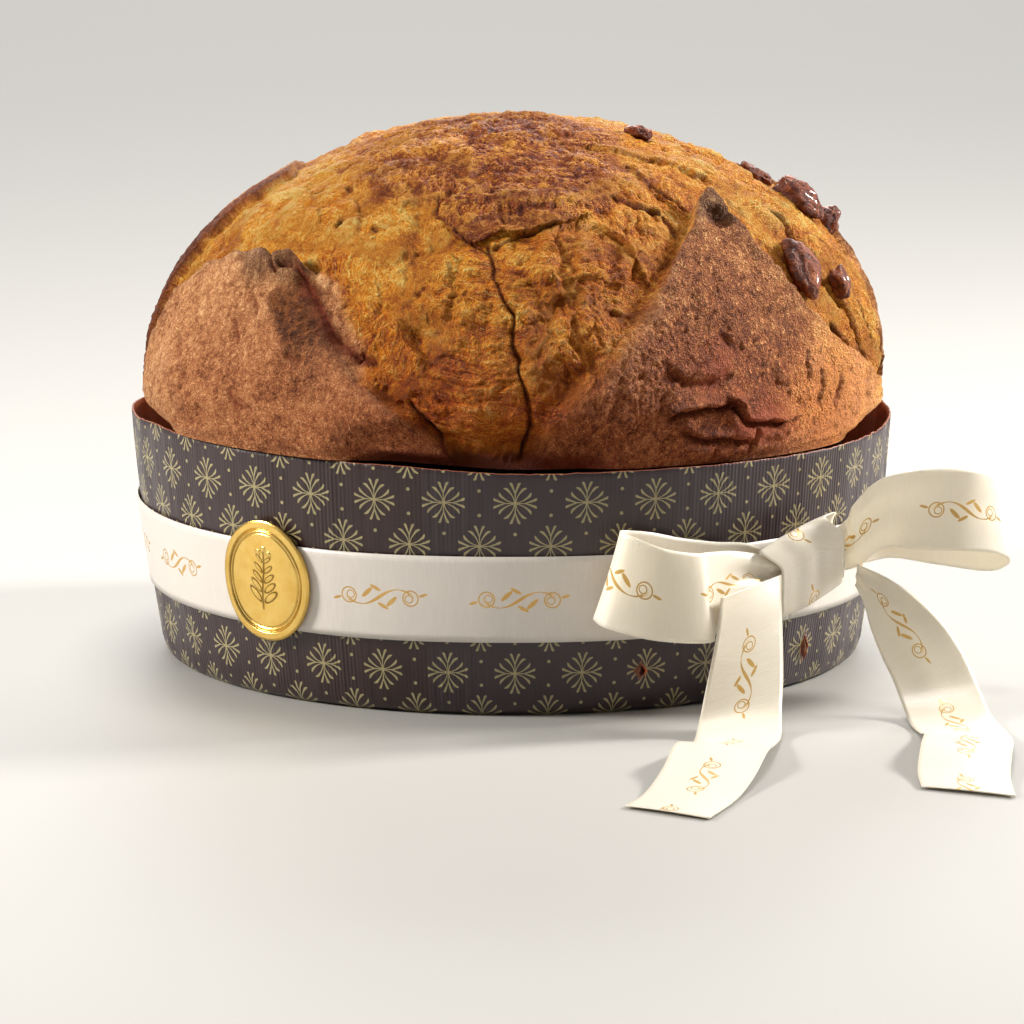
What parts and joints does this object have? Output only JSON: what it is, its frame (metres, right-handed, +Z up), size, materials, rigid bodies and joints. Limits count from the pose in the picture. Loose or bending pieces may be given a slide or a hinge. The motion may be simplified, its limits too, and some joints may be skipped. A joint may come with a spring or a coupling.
{
  "type": "panettone",
  "caption": "Low domed festive loaf with a torn crosswise crust in a patterned paper baking case, tied with a wide satin ribbon and bow and closed with a gold seal.",
  "frame": {"origin": "centre of the paper case's flat base, on the plane it stands on", "axes": "+Z up through the dome, -Y towards the front (seal to its left, bow to its right), +X right"},
  "size_m": [0.2558, 0.3417, 0.1592],
  "materials": {
    "crust": "baked crust",
    "case_paper": "semi-gloss print",
    "ribbon": "satin",
    "seal_gold": "embossed gold foil",
    "chestnut": "glazed"
  },
  "bodies": {
    "root": {"loaf": "crust", "paper_case": "case_paper", "ribbon_band": "ribbon", "bow_loop_left": "ribbon", "bow_loop_right": "ribbon", "bow_knot": "ribbon", "ribbon_tail_left": "ribbon", "ribbon_tail_right": "ribbon", "seal": "seal_gold", "chestnut_1": "chestnut", "chestnut_2": "chestnut", "chestnut_3": "chestnut", "chestnut_4": "chestnut", "chestnut_5": "chestnut", "chestnut_6": "chestnut"}
  },
  "joints": []
}
